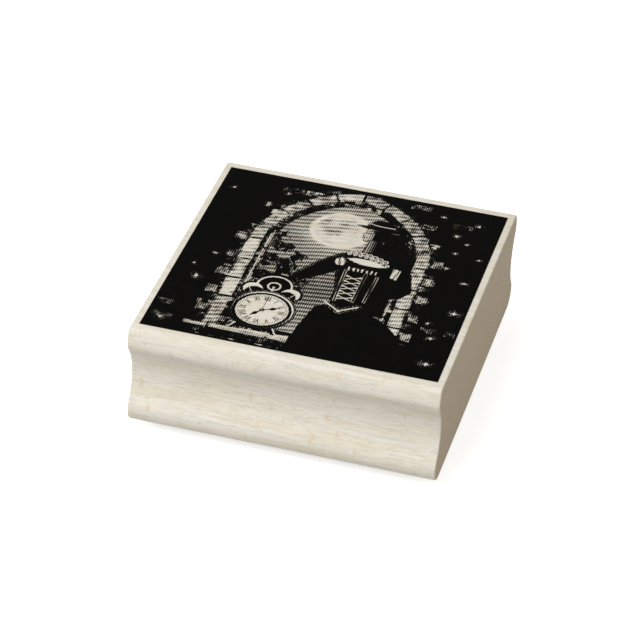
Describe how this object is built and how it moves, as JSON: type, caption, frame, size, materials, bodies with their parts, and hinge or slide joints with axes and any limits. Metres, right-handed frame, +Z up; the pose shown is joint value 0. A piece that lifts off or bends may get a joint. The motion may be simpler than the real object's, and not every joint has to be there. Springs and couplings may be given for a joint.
{
  "type": "rubber stamp",
  "caption": "Wood-mounted rubber stamp: a moulded block with finger coves and an index picture on top, over a foam cushion and an engraved rubber die.",
  "frame": {"origin": "centre of the printing face of the die, which is the bottom of the part", "axes": "+Z up towards the index picture, +X along the grain of the block between its sawn ends, +Y across the grain towards the top edge of the picture"},
  "size_m": [0.0666, 0.0706, 0.027],
  "materials": {
    "maple": "sanded bare maple",
    "index_ink": "satin printed ink film",
    "adhesive_film": "clear acrylic adhesive film",
    "cushion_foam": "fine closed-cell foam",
    "die_rubber": "matt engraved rubber"
  },
  "bodies": {
    "die": {"rubber_die": "die_rubber", "die_tape": "adhesive_film", "foam_cushion": "cushion_foam"},
    "block": {"wood_block": "maple", "index_print": "index_ink", "block_tape": "adhesive_film"}
  },
  "joints": [
    {"name": "cushion_press", "type": "slide", "parent": "die", "child": "block", "axis": [0, 0, -1], "range_m": [0, 0.00045], "stiffness_N_per_m": 120000, "deforming": ["foam_cushion"]}
  ]
}
